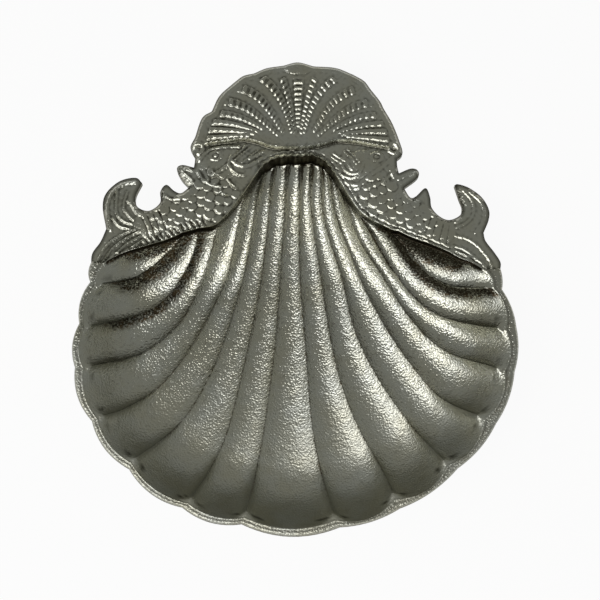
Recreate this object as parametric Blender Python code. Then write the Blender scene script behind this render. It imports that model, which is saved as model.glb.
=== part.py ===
"""Cast metal shell dish: a fluted scallop bowl carried by two dolphins and a small fan shell.

The dish is one casting. It lies on the table with +Z up, the fan shell at +Y and the pouring
lobes at -Y. The origin is the middle of its plan, on the table. Lengths below are millimetres.
"""

import bpy
import bmesh
import numpy as np
from mathutils import Vector
from mathutils.geometry import delaunay_2d_cdt

MM = 0.001
NODE = "shell_dish"

# Overall plan: the plan points below are drawn for these two sizes and stretch with them
DRAWN_WIDTH = 137.2
DRAWN_LENGTH = 150.6
DISH_WIDTH = 137.2
DISH_LENGTH = 150.6

# Bowl
RIM_LEVEL = 18.7
RIM_ROLL = 0.9
RIM_DROP = 0.7
RIDGE_LEVEL = 4.5
HINGE_RISE = 5.4
HINGE_REACH = 22.0
SIDE_RISE = 9.0
END_SHARE = 0.45
FLUTE_DEPTH = 2.6
FLUTE_SPREAD = 9.0
END_WALL = 18.0
WALL_SHARE = 0.8
FLUTE_FADE = 9.0
WALL = 2.4
FLOOR_WALL = 2.8
UNDER_FLUTE = 0.15

# Edge where the bowl climbs to the ornament and steps up to it: the level there goes from the
# first number at the hinge to the second under the dolphins, between two distances from the middle
LIP_LEVEL = 18.6
LIP_RUN = 1.1
FOOT_LEVELS = (11.4, 15.2)
FOOT_SPAN = (8.0, 22.0)
FOOT_RUN = 20.0

# Ornament: a plate with the fan shell and the dolphins raised on it
PLATE_LEVEL = 18.0
PLATE_THICKNESS = 3.4
EDGE_LEVEL = 17.4
EDGE_ROUND = 1.3
FAN_CROWN = 1.8
FAN_RIB = 0.7
FAN_RIB_BREADTH = (0.3, 0.09)
FAN_HINGE = (0.3, 45.6)
BODY_CROWN = 1.7
HEAD_CROWN = 0.8
BOSS_CROWN = 1.0
STROKE = 0.7
STROKE_BREADTH = 1.25

# Mesh steps
FLUTE_STEPS = 4
FLOOR_ROWS = 9
WALL_ROWS = (18.0, 14.2, 10.9, 8.0, 5.5, 3.4, 1.6, 0.0)
RIM_ROWS = (0.25, 0.5, 0.75)
OUTLINE_STEP = 1.7
RELIEF_STEP = 1.3
UNDER_STEP = 5.0
UNDER_ROWS = 8
UNDER_WALL_ROWS = (0.95, 0.7, 0.48, 0.28, 0.1)

# Crest lines between the flutes, each from the foot of the ornament to the rim, left to right
RIDGES = (
    ((-37.6, 16.0), (-41.8, 14.4), (-46.8, 12.8), (-52.6, 10.9), (-56.0, 9.3), (-58.8, 7.6)),
    ((-35.4, 17.2), (-39.6, 13.2), (-43.6, 9.6), (-49.7, 4.7), (-55.5, 2.2), (-61.6, 0.3)),
    ((-30.8, 18.6), (-32.1, 14.0), (-36.3, 5.6), (-43.3, -3.0), (-53.2, -8.5), (-65.0, -13.4)),
    ((-24.7, 20.2), (-26.9, 13.2), (-32.0, -0.1), (-38.1, -10.5), (-48.8, -19.4), (-64.2, -25.8)),
    ((-16.8, 29.8), (-19.1, 20.0), (-22.1, 6.7), (-30.4, -11.9), (-40.4, -27.1), (-51.2, -36.5),
     (-59.4, -41.2)),
    ((-10.4, 39.6), (-12.6, 31.0), (-14.4, 20.1), (-16.8, 6.8), (-21.8, -11.8), (-27.6, -27.1),
     (-35.3, -40.3), (-48.8, -54.2)),
    ((-6.8, 42.0), (-8.2, 34.0), (-9.5, 20.2), (-12.0, -0.5), (-16.2, -22.7), (-20.8, -42.5),
     (-25.2, -53.7), (-31.2, -66.2)),
    ((-2.7, 42.7), (-3.4, 33.4), (-4.7, 13.6), (-6.2, -13.2), (-9.0, -38.6), (-11.7, -56.1),
     (-14.2, -70.2)),
    ((1.4, 42.8), (1.0, 28.0), (1.4, 7.0), (3.0, -12.1), (5.7, -41.1), (9.2, -58.0), (12.6, -70.6)),
    ((4.6, 43.1), (4.6, 30.0), (8.0, 7.1), (11.0, -11.4), (14.2, -25.6), (19.6, -40.1), (26.6, -53.5),
     (30.4, -64.2)),
    ((8.0, 41.8), (8.8, 26.3), (14.7, 7.1), (19.0, -10.3), (25.9, -24.9), (35.1, -38.7), (46.3, -54.0)),
    ((10.3, 39.4), (12.7, 26.3), (18.3, 12.1), (23.5, 0.5), (32.0, -14.5), (45.0, -31.5), (57.3, -39.9)),
    ((13.4, 34.4), (16.6, 26.3), (20.6, 17.1), (27.6, 7.2), (36.8, -6.7), (46.6, -16.6), (63.6, -25.1)),
    ((20.2, 24.4), (23.8, 19.5), (28.9, 12.1), (35.0, 3.5), (42.8, -4.0), (54.9, -9.5), (64.1, -12.3)),
    ((29.6, 19.0), (33.2, 15.8), (36.6, 12.0), (42.9, 6.4), (49.1, 2.8), (55.0, 1.4), (60.9, 0.9)),
    ((32.0, 18.4), (36.0, 16.5), (41.8, 14.4), (47.4, 12.0), (50.8, 10.0), (54.2, 8.8), (57.8, 6.6)),
)

# Outer points of the rim where the crest lines end, left to right
RIM_CUSPS = (
    (-63.9, 7.5), (-63.8, 1.6), (-66.6, -11.6), (-67.3, -25.3), (-61.4, -41.8), (-49.6, -56.2),
    (-33.4, -67.4), (-15.4, -72.2), (14.2, -72.8), (32.3, -67.0), (49.7, -54.9), (61.4, -41.4),
    (67.5, -25.2), (68.4, -11.4), (64.2, 0.6), (63.9, 7.0),
)
# How far a lobe bows out, as a share of its chord: left and right halves, inside and outside
INNER_BOW = (0.11, 0.16)
OUTER_BOW = (0.11, 0.065)
BOW_REACH = 26.0
FOOT_REACH = 12.0

# Outline of the ornament from the right end of the rim to its left end, one span per corner
TAIL_RIGHT = (
    ((63.9, 7.0), (64.0, 9.5), (62.1, 12.7), (59.5, 16.3), (58.9, 18.9)),
    ((58.9, 18.9), (60.6, 23.2), (60.7, 26.6), (58.5, 30.6), (54.6, 33.6), (51.1, 34.8), (50.0, 34.4)),
    ((50.0, 34.4), (51.4, 30.0), (52.3, 27.3), (51.6, 24.6), (48.2, 23.0), (45.1, 24.2), (42.7, 27.0),
     (42.2, 30.5), (40.8, 33.4), (37.7, 30.6), (35.9, 30.3), (34.0, 33.3)),
    ((34.0, 33.3), (38.4, 36.9), (38.4, 39.2), (36.2, 39.8), (32.4, 38.2)),
    ((32.4, 38.2), (31.9, 40.5), (31.8, 42.7)),
)
FAN_EDGE = (
    ((31.8, 42.7), (33.6, 44.8), (32.6, 49.0), (30.4, 54.8), (27.6, 59.9)),
    ((27.6, 59.9), (26.4, 62.4), (23.4, 66.4)),
    ((23.4, 66.4), (21.4, 69.1), (17.8, 71.3)),
    ((17.8, 71.3), (12.2, 73.5), (5.1, 74.0)),
    ((5.1, 74.0), (0.0, 75.3), (-4.8, 74.1)),
    ((-4.8, 74.1), (-10.0, 73.2), (-14.0, 71.4)),
    ((-14.0, 71.4), (-17.6, 70.4), (-20.6, 68.0)),
    ((-20.6, 68.0), (-25.0, 63.6), (-27.4, 58.3)),
    ((-27.4, 58.3), (-30.5, 55.9), (-32.5, 49.5)),
    ((-32.5, 49.5), (-33.9, 46.0), (-32.3, 42.7)),
)
TAIL_LEFT = (
    ((-32.3, 42.7), (-32.4, 41.0), (-32.6, 39.4)),
    ((-32.6, 39.4), (-36.4, 40.2), (-38.0, 38.9), (-36.6, 35.6), (-34.0, 32.8)),
    ((-34.0, 32.8), (-36.4, 30.9), (-38.6, 31.6), (-41.2, 33.6), (-43.0, 31.3), (-43.0, 27.6),
     (-46.4, 25.0), (-50.0, 26.2), (-50.8, 29.5), (-48.9, 34.1)),
    ((-48.9, 34.1), (-51.0, 35.8), (-56.0, 34.6), (-60.1, 30.6), (-61.0, 26.0), (-59.6, 18.9)),
    ((-59.6, 18.9), (-61.2, 14.8), (-63.6, 11.0), (-63.9, 7.5)),
)

# Rib directions of the fan shell, in degrees either side of its middle rib
FAN_ANGLES = (0.0, 13.5, 26.5, 39.5, 52.5, 63.0, 71.5, 78.0)
FAN_RIB_START = 7.0
FAN_SPAN = (33.0, 27.5)

# One dolphin, drawn on the right; the left one is its mirror image
BODY_AXIS = ((19.4, 38.6), (23.0, 33.6), (28.2, 28.8), (34.4, 25.1), (40.6, 22.3), (46.4, 19.6))
BODY_HALF = (7.4, 4.6)
HEAD = (23.4, 40.6)
HEAD_HALF = (8.2, 5.6)
EYE = (25.5, 42.9)
EYE_RADIUS = 1.5
EYE_BREADTH = 0.9
BOSS = (0.1, 72.4)
BOSS_HALF = (4.6, 2.1)
UPPER_FLUKE = (
    ((51.1, 32.7), (53.2, 29.4), (53.6, 26.1), (51.6, 23.2), (48.2, 21.6)),
    ((53.8, 32.2), (55.8, 28.6), (55.8, 25.0), (53.4, 22.2), (49.4, 20.2)),
    ((56.6, 30.4), (58.0, 27.4), (57.8, 23.8), (55.6, 20.6), (51.4, 18.8)),
)
LOWER_FLUKE = (
    ((48.6, 17.2), (53.8, 16.2), (58.6, 12.2), (61.6, 7.6)),
    ((48.0, 15.6), (53.0, 14.0), (57.4, 10.6), (60.6, 6.2)),
)
HEAD_STROKES = (
    ((10.8, 44.2), (14.8, 41.5)),
    ((15.6, 46.0), (19.6, 41.2)),
    ((14.6, 39.6), (16.2, 37.6), (18.6, 37.4), (20.4, 39.0), (20.8, 41.0)),
    ((30.2, 42.0), (26.4, 38.6), (21.0, 34.8)),
)


def plan(x, y):
    """Stretch a drawn plan point to the dish's own width and length."""
    return (x * DISH_WIDTH / DRAWN_WIDTH, y * DISH_LENGTH / DRAWN_LENGTH)


def curve(points, fractions):
    """Points of the smooth curve through the given plan points, at fractions of its length."""
    p = np.array([plan(x, y) for x, y in points])
    ends = np.vstack([2 * p[0] - p[1], p, 2 * p[-1] - p[-2]])
    t = np.linspace(0.0, 1.0, 24, endpoint=False)[:, None]
    pieces = []
    for a, b, c, d in zip(ends, ends[1:], ends[2:], ends[3:]):
        pieces.append(0.5 * (2 * b + (c - a) * t + (2 * a - 5 * b + 4 * c - d) * t ** 2
                             + (3 * b - a - 3 * c + d) * t ** 3))
    dense = np.vstack(pieces + [p[-1:]])
    steps = np.hypot(*np.diff(dense, axis=0).T)
    run = np.concatenate([[0.0], np.cumsum(steps)])
    at = np.asarray(fractions) * run[-1]
    return np.stack([np.interp(at, run, dense[:, 0]), np.interp(at, run, dense[:, 1])], axis=1)


def curve_length(points):
    fine = curve(points, np.linspace(0.0, 1.0, 60))
    return float(np.hypot(*np.diff(fine, axis=0).T).sum())


def smooth(x):
    x = np.clip(x, 0.0, 1.0)
    return x * x * (3.0 - 2.0 * x)


def bow(start, end, share, f):
    """Offset from the chord start-end to its shallow outward arc, at fraction f."""
    chord = end - start
    out = np.array([chord[1], -chord[0]])
    return out * share * 4.0 * f * (1.0 - f)


def crest_level(p):
    """Height of the crest lines over the table, before the wall at the rim."""
    hinge = np.hypot(p[:, 0] - FAN_HINGE[0], p[:, 1] - FAN_HINGE[1] * DISH_LENGTH / DRAWN_LENGTH)
    side = np.hypot(2 * p[:, 0] / DISH_WIDTH, END_SHARE * 2 * p[:, 1] / DISH_LENGTH)
    return RIDGE_LEVEL + HINGE_RISE * np.exp(-(hinge / HINGE_REACH) ** 2) + SIDE_RISE * side ** 3


def flute_depth(breadth, f):
    """Depth of the scoop below the crests, at fraction f across a flute of some breadth."""
    return FLUTE_DEPTH * (1.0 - np.exp(-breadth / FLUTE_SPREAD)) * 4.0 * f * (1.0 - f)


def end_rise(level, start, distance, reach):
    """Height with the curved end wall added, at a distance inside the rim."""
    return start + (level - start) * np.clip(1.0 - distance / reach, 0.0, 1.0) ** 2


def foot_curve(k, f):
    """Point of the smooth foot line through the starts of the crest lines, in flute k."""
    starts = np.array([plan(*ridge[0]) for ridge in RIDGES])
    a = starts[max(k - 1, 0)]
    b, c = starts[k], starts[k + 1]
    d = starts[min(k + 2, len(starts) - 1)]
    before, after = c - a, d - b
    if np.hypot(*(b - a)) > 0:
        before = before * np.hypot(*(c - b)) * 2 / (np.hypot(*(c - b)) + np.hypot(*(b - a)))
    if np.hypot(*(d - c)) > 0:
        after = after * np.hypot(*(c - b)) * 2 / (np.hypot(*(c - b)) + np.hypot(*(d - c)))
    return (b * (1 + 2 * f) * (1 - f) ** 2 + c * f ** 2 * (3 - 2 * f)
            + 0.5 * before * f * (1 - f) ** 2 - 0.5 * after * f ** 2 * (1 - f))


def foot_line():
    """Plan line of the ornament's foot round the bowl, from the left rim end to the right."""
    places = np.arange(FLUTE_STEPS) / FLUTE_STEPS
    points = [foot_curve(k, f) for k in range(len(RIDGES) - 1) for f in places]
    along = np.linspace(0.0, 1.0, 4 * FLUTE_STEPS)
    return np.vstack([curve(RIDGES[0], along[::-1])[:-1], points, curve(RIDGES[-1], along)])


def bowl_level(p):
    """Height of the crest lines with the slope that climbs to the ornament's foot."""
    gap, _ = line_distance(p, foot_line())
    from_middle = np.abs(p[:, 0] - plan(*FAN_HINGE)[0])
    share = smooth((from_middle - FOOT_SPAN[0]) / (FOOT_SPAN[1] - FOOT_SPAN[0]))
    foot_level = FOOT_LEVELS[0] + (FOOT_LEVELS[1] - FOOT_LEVELS[0]) * share
    return end_rise(foot_level, crest_level(p), gap, FOOT_RUN)


def bowl_columns(steps):
    """Flute number, place across it, length and half of the dish for each bowl column."""
    lengths = [curve_length(r) for r in RIDGES]
    flutes = len(RIDGES) - 1
    columns = []
    for number in range(flutes * steps + 1):
        k = min(number // steps, flutes - 1)
        f = number / steps - k
        length = lengths[k] * (1 - f) + lengths[k + 1] * f
        half = 0 if k < flutes / 2 else 1
        columns.append((k, f, length, half))
    return columns


def column_points(column, fractions):
    """Plan line of a bowl column, the breadth of its flute and the distance to the rim."""
    k, f, length, half = column
    a = curve(RIDGES[k], fractions)
    b = curve(RIDGES[k + 1], fractions)
    line = a * (1 - f) + b * f
    inside = (1.0 - fractions) * length
    at_rim = smooth(1.0 - inside / min(BOW_REACH, length))
    at_foot = smooth(1.0 - fractions * length / FOOT_REACH)
    chord = np.array(plan(*RIDGES[k][0])) * (1 - f) + np.array(plan(*RIDGES[k + 1][0])) * f
    foot = foot_curve(k, f) - chord
    line = line + at_rim[:, None] * bow(a[-1], b[-1], INNER_BOW[half], f) + at_foot[:, None] * foot
    return line, np.hypot(*(b - a).T), inside


def row_fractions(length):
    """Row places along a column: even over the floor, closer up the end wall."""
    wall = np.array(WALL_ROWS) * min(1.0, WALL_SHARE * length / WALL_ROWS[0])
    floor = np.linspace(0.0, 1.0 - wall[0] / length, FLOOR_ROWS + 1)
    return np.concatenate([floor, 1.0 - wall[1:] / length])


def bowl_grid():
    """Top surface of the bowl as rows by columns of (x, y, z)."""
    grid = []
    for column in bowl_columns(FLUTE_STEPS):
        k, f, length, half = column
        line, breadth, inside = column_points(column, row_fractions(length))
        level = end_rise(RIM_LEVEL, bowl_level(line), inside, END_WALL)
        level = level - flute_depth(breadth, f) * smooth(inside / FLUTE_FADE)
        grid.append(np.column_stack([line, level]))
    return np.array(grid).transpose(1, 0, 2)


def rim_outer():
    """Outer edge of the rim, one point per bowl column."""
    points = []
    for k, f, length, half in bowl_columns(FLUTE_STEPS):
        a = np.array(plan(*RIM_CUSPS[k]))
        b = np.array(plan(*RIM_CUSPS[k + 1]))
        points.append(a * (1 - f) + b * f + bow(a, b, OUTER_BOW[half], f))
    return np.array(points)


def rim_rows(inner):
    """Rows of the rounded rim, from the row next to the bowl to its outer edge."""
    outer = rim_outer()
    rows = []
    for f in RIM_ROWS + (1.0,):
        xy = inner[:, :2] * (1 - f) + outer * f
        z = RIM_LEVEL + RIM_ROLL * np.sin(np.pi * min(f * 1.1, 1.0)) - RIM_DROP * f
        rows.append(np.column_stack([xy, np.full(len(xy), z)]))
    return rows


def lip_rows(grid):
    """The foot of the ornament round the bowl and the lip above it, left rim end to right."""
    foot = np.vstack([grid[::-1, 0][:-1], grid[0], grid[1:, -1]])
    lip = np.column_stack([foot[:, :2] + outward(foot) * LIP_RUN, np.full(len(foot), LIP_LEVEL)])
    return foot, lip


def ornament_outline():
    """Outer edge of the ornament, right end of the rim to the left end."""
    points = []
    for span in TAIL_RIGHT + FAN_EDGE + TAIL_LEFT:
        count = max(2, round(curve_length(span) / OUTLINE_STEP))
        points.append(curve(span, np.linspace(0.0, 1.0, count + 1))[:-1])
    return np.vstack(points + [curve(TAIL_LEFT[-1], [1.0])])


def line_distance(points, line):
    """Distance from each point to a polyline, and how far along it the nearest place is."""
    best = np.full(len(points), 1e9)
    where = np.zeros(len(points))
    run = 0.0
    for a, b in zip(line, line[1:]):
        step = b - a
        size = float(np.hypot(*step))
        t = np.clip((points - a) @ step / size ** 2, 0.0, 1.0)
        gap = np.hypot(*(points - a - t[:, None] * step).T)
        nearer = gap < best
        best = np.where(nearer, gap, best)
        where = np.where(nearer, run + t * size, where)
        run += size
    return best, where / run


def inside_loop(points, loop):
    """Which plan points lie inside a closed loop."""
    x, y = points.T
    inside = np.zeros(len(points), dtype=bool)
    for (xa, ya), (xb, yb) in zip(loop, np.roll(loop, -1, axis=0)):
        if ya != yb:
            crosses = ((ya > y) != (yb > y)) & (x < xa + (y - ya) * (xb - xa) / (yb - ya))
            inside ^= crosses
    return inside


def stroke(points, line):
    """Height of a rounded raised line."""
    gap, _ = line_distance(points, curve(line, np.linspace(0.0, 1.0, 12)))
    return STROKE * smooth(1.0 - gap / STROKE_BREADTH)


def fan_relief(p):
    """Crowned fan shell with ribs that spread from its hinge."""
    centre = np.array(plan(*FAN_HINGE))
    reach = np.array(plan(*FAN_SPAN))
    d = p - centre
    radius = np.hypot(*d.T)
    angle = np.degrees(np.arctan2(d[:, 0], d[:, 1]))
    over = smooth((d[:, 1] + 1.0) / 2.5)
    far = (d[:, 0] / reach[0]) ** 2 + (d[:, 1] / reach[1] - 0.25) ** 2
    crown = FAN_CROWN * np.clip(1.0 - far, 0.0, 1.0) ** 0.6
    half = FAN_RIB_BREADTH[0] + FAN_RIB_BREADTH[1] * radius
    rib = np.zeros(len(p))
    for turn in FAN_ANGLES:
        for side in (-1, 1):
            across = radius * np.radians(np.abs(angle - side * turn))
            rib = np.maximum(rib, FAN_RIB * smooth(1.0 - across / half))
    return over * (crown + rib * smooth((radius - FAN_RIB_START) / 5.0))


def dolphin_relief(p, side):
    """Crowned head and body, eye, mouth, and ribbed tail of one dolphin."""
    q = p * np.array([side, 1.0])
    gap, along = line_distance(q, curve(BODY_AXIS, np.linspace(0.0, 1.0, 16)))
    half = BODY_HALF[0] + (BODY_HALF[1] - BODY_HALF[0]) * along
    body = BODY_CROWN * np.sqrt(np.clip(1.0 - (gap / half) ** 2, 0.0, 1.0)) * (1.0 - 0.35 * along)
    head = (q - np.array(plan(*HEAD))) / np.array(HEAD_HALF)
    raised = body + HEAD_CROWN * np.clip(1.0 - (head ** 2).sum(axis=1), 0.0, 1.0)
    for line in HEAD_STROKES + UPPER_FLUKE + LOWER_FLUKE:
        raised = raised + stroke(q, line)
    eye = np.hypot(*(q - np.array(plan(*EYE))).T)
    return raised + STROKE * smooth(1.0 - np.abs(eye - EYE_RADIUS) / EYE_BREADTH)


def ornament_level(p, edge_gap):
    """Top height of the ornament at plan points a given distance inside its outline."""
    boss = (p - np.array(plan(*BOSS))) / np.array(BOSS_HALF)
    raised = fan_relief(p) + dolphin_relief(p, 1) + dolphin_relief(p, -1)
    raised = raised + BOSS_CROWN * np.clip(1.0 - (boss ** 2).sum(axis=1), 0.0, 1.0)
    round_off = np.sqrt(1.0 - (1.0 - np.clip(edge_gap / EDGE_ROUND, 0.0, 1.0)) ** 2)
    return EDGE_LEVEL + (PLATE_LEVEL - EDGE_LEVEL + raised) * round_off


def hex_points(loop, step, clear):
    """Evenly staggered points inside a loop, kept clear of its edge."""
    low, high = loop.min(axis=0), loop.max(axis=0)
    rows = []
    for number, y in enumerate(np.arange(low[1], high[1], step * np.sqrt(3) / 2)):
        x = np.arange(low[0] + (number % 2) * step / 2, high[0], step)
        rows.append(np.column_stack([x, np.full(len(x), y)]))
    points = np.vstack(rows)
    points = points[inside_loop(points, loop)]
    gap, _ = line_distance(points, np.vstack([loop, loop[:1]]))
    keep = gap > clear
    return points[keep]


def add_quads(bm, rows):
    """Quads between neighbouring rows of equal length."""
    made = [[bm.verts.new(Vector(v) * MM) for v in row] for row in rows]
    for low, high in zip(made, made[1:]):
        for i in range(len(low) - 1):
            bm.faces.new((low[i], low[i + 1], high[i + 1], high[i]))


def add_patch(bm, loop, inner):
    """Triangles over a closed loop and the points inside it, each with its own height."""
    points = np.vstack([loop, inner])
    flat = [Vector((x, y)) for x, y in points[:, :2]]
    found = delaunay_2d_cdt(flat, [], [list(range(len(loop)))], 1, 1e-7)
    made = [bm.verts.new(Vector(points[source[0]]) * MM) for source in found[3]]
    for face in found[2]:
        bm.faces.new([made[i] for i in face])


def under_bowl(rim_breadth):
    """Underside of the bowl: shallow flutes below the top, flat where the dish rests."""
    points = []
    for column in bowl_columns(2):
        k, f, length, half = column
        reach = min(END_WALL + 3.0, WALL_SHARE * length)
        floor = np.linspace(0.04, 1.0 - reach / length, UNDER_ROWS)
        wall = 1.0 - (reach - 3.0) * np.array(UNDER_WALL_ROWS) / length
        line, breadth, inside = column_points(column, np.concatenate([floor, wall]))
        scoop = FLUTE_DEPTH * (1.0 - UNDER_FLUTE) + UNDER_FLUTE * flute_depth(breadth, f)
        level = np.maximum(bowl_level(line) - FLOOR_WALL - scoop, 0.0)
        skirt = RIM_LEVEL - RIM_DROP - WALL
        level = end_rise(skirt, level, inside + rim_breadth, END_WALL + rim_breadth)
        points.append(np.column_stack([line, level]))
    return np.vstack(points)


def outward(line):
    """Unit plan normals of a line, to its left."""
    along = np.gradient(line[:, :2], axis=0)
    along /= np.hypot(*along.T)[:, None]
    return np.column_stack([-along[:, 1], along[:, 0]])


def under_belt(foot, loop):
    """Two lines where the underside steps up from the bowl to the ornament plate."""
    low_level = np.maximum(foot[:, 2] - WALL, 0.0)
    high_level = np.full(len(foot), PLATE_LEVEL - PLATE_THICKNESS)
    lines = []
    for reach, level in ((LIP_RUN, low_level), (LIP_RUN + WALL, high_level)):
        line = foot[:, :2] + outward(foot) * reach
        lines.append(np.column_stack([line, np.minimum(level, high_level)]))
    belt = np.vstack([line[2:-2] for line in lines])
    gap, _ = line_distance(belt[:, :2], loop[:, :2])
    return belt[inside_loop(belt[:, :2], loop[:, :2]) & (gap > 1.0)]


def build_dish():
    bm = bmesh.new()
    grid = bowl_grid()
    add_quads(bm, grid)
    rim = rim_rows(grid[-1])
    add_quads(bm, [grid[-1]] + rim)
    foot, lip = lip_rows(grid)
    add_quads(bm, [foot, lip])

    outline = ornament_outline()
    edge = np.column_stack([outline, np.full(len(outline), EDGE_LEVEL)])
    edge[0] = rim[-1][-1]
    edge[-1] = rim[-1][0]
    right_end = np.array([grid[-1][-1]] + [row[-1] for row in rim[:-1]])
    left_end = np.array([row[0] for row in reversed(rim[:-1])] + [grid[-1][0]])
    loop = np.vstack([lip, right_end, edge, left_end])
    spots = hex_points(loop[:, :2], RELIEF_STEP, 0.55 * RELIEF_STEP)
    outer_gap, _ = line_distance(spots, edge[:, :2])
    add_patch(bm, loop, np.column_stack([spots, ornament_level(spots, outer_gap)]))

    border = np.vstack([rim[-1], edge[1:-1]])
    under = border.copy()
    under[:, 2] -= WALL
    add_quads(bm, [np.vstack([border, border[:1]]), np.vstack([under, under[:1]])])
    belt = under_belt(foot, border)
    rim_breadth = float(np.mean(np.hypot(*(rim[-1] - grid[-1])[:, :2].T)))
    plate_spots = hex_points(loop[:, :2], UNDER_STEP, 2.0)
    plate_gap, _ = line_distance(plate_spots, foot[:, :2])
    plate_spots = plate_spots[plate_gap > LIP_RUN + WALL + 1.0]
    plate = np.column_stack([plate_spots, np.full(len(plate_spots), PLATE_LEVEL - PLATE_THICKNESS)])
    add_patch(bm, under, np.vstack([under_bowl(rim_breadth), belt, plate]))

    bmesh.ops.remove_doubles(bm, verts=bm.verts, dist=0.01 * MM)
    bmesh.ops.triangulate(bm, faces=bm.faces)
    bmesh.ops.recalc_face_normals(bm, faces=bm.faces)
    corners = np.array([v.co for v in bm.verts])
    middle = (corners.min(axis=0) + corners.max(axis=0)) / 2
    bmesh.ops.translate(bm, verts=bm.verts, vec=(-middle[0], -middle[1], 0.0))
    mesh = bpy.data.meshes.new(NODE)
    bm.to_mesh(mesh)
    bm.free()
    mesh.shade_smooth()
    mesh.set_sharp_from_angle(angle=0.7)
    dish = bpy.data.objects.new(NODE, mesh)
    bpy.context.scene.collection.objects.link(dish)
    return dish


def plated_metal():
    """Silvery plated finish, slightly warm where the plating has dulled."""
    material = bpy.data.materials.new("silvered_metal")
    material.use_nodes = True
    shader = material.node_tree.nodes["Principled BSDF"]
    shader.inputs["Base Color"].default_value = (0.45, 0.44, 0.38, 1.0)
    shader.inputs["Metallic"].default_value = 1.0
    shader.inputs["Roughness"].default_value = 0.3
    return material


for old in list(bpy.data.objects):
    bpy.data.objects.remove(old, do_unlink=True)
build_dish().data.materials.append(plated_metal())
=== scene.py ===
"""The shell dish with its full relief and its worn silvery finish, lit and seen as photographed.

The surfaces follow the same plan lines as the CAD part, drawn in millimetres and set out at a
fine step, with the ropes of the fan, the dolphins' features and the casting's texture on them.
"""

import functools

import bmesh
import bpy
import numpy as np
from mathutils import Matrix, Vector
from mathutils.geometry import delaunay_2d_cdt


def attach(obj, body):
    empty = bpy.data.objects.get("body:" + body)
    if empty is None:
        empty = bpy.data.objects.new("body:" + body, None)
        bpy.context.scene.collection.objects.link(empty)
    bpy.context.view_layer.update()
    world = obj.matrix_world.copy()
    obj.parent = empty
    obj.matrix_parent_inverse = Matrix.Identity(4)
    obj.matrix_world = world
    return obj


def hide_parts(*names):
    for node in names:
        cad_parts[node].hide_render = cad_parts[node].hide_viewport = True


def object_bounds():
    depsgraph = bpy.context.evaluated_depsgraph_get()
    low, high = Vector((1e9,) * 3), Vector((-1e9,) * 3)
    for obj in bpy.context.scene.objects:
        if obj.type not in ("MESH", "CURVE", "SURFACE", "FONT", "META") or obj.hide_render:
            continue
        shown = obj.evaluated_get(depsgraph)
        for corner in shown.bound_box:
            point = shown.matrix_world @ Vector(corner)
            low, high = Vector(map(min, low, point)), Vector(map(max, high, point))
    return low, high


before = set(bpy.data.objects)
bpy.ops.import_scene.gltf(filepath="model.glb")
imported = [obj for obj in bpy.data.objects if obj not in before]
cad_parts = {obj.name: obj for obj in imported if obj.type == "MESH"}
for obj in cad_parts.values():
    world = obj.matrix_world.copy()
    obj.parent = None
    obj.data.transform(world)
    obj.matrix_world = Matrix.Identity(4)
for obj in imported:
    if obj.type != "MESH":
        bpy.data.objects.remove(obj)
cad_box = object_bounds()

MM = 0.001

# Bowl in mm, on the CAD part's plan and close to its heights
DISH_WIDTH = 137.2
DISH_LENGTH = 150.6
RIM_LEVEL = 18.7
RIM_ROLL = 0.9
RIM_DROP = 0.7
RIDGE_LEVEL = 4.5
HINGE_RISE = 5.4
HINGE_REACH = 22.0
SIDE_RISE = 9.0
END_SHARE = 0.45
FLUTE_DEPTH = 2.6
FLUTE_SPREAD = 9.0
FLUTE_SHAPE = 2.25
END_CORNER = 3.6
END_WALL = 18.0
FLUTE_FADE = 10.5
WALL = 2.4
FLOOR_WALL = 2.65
UNDER_FLUTE = 0.15
LIP_LEVEL = 18.6
LIP_RUN = 0.65
LIP_PROFILE = ((0.0, 0.0), (0.38, 0.08), (0.62, 0.5), (0.74, 0.9), (1.0, 1.0))
FOOT_LEVELS = (11.4, 16.2)
FOOT_SPAN = (8.0, 22.0)
FOOT_RUN = 20.0

# Ornament in mm: the CAD part's plate, lower crowns and fine relief on them
PLATE_LEVEL = 18.0
PLATE_THICKNESS = 3.4
EDGE_LEVEL = 17.4
EDGE_ROUND = 1.5
EDGE_FALL = 1.1
FAN_STEP = 0.5
FAN_CROWN = 0.9
FAN_HINGE = (0.3, 45.6)
BODY_CROWN = 1.0
HEAD_CROWN = 0.8
BOSS_CROWN = 0.35
CAST_WAVE = 0.055
RIGHT_WEAR = 0.35
EDGE_LOOPS = (0.25, 0.55, 0.95)
LIP_LOOPS = (0.3, 0.65)
SCALLOP_DEPTH = 0.3
SCALLOP_PITCH = 2.2
TEETH_PITCH = 1.7
TEETH_RISE = 0.5
LIP_LINES = ((0.35, 0.45), (1.5, 0.2))

# Mesh steps: shares across a flute, rows along it, spacing of points in mm
FLUTE_FRACTIONS = (0.0, 0.035, 0.085, 0.15, 0.23, 0.32, 0.42, 0.5, 0.58, 0.68, 0.77, 0.85, 0.915, 0.965)
FLOOR_ROWS = 95
WALL_ROWS = 22
LIP_ROWS = 11
OUTLINE_STEP = 0.4
RELIEF_STEP = 0.29
UNDER_STEP = 2.4
UNDER_FRACTIONS = (0.0, 0.25, 0.5, 0.75)
UNDER_ROWS = (26, 7)
UNDER_START = 0.04
NORMAL_REACH = 1.5
CORNER_ANGLE = 1.0
MERGE = 0.004

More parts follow.
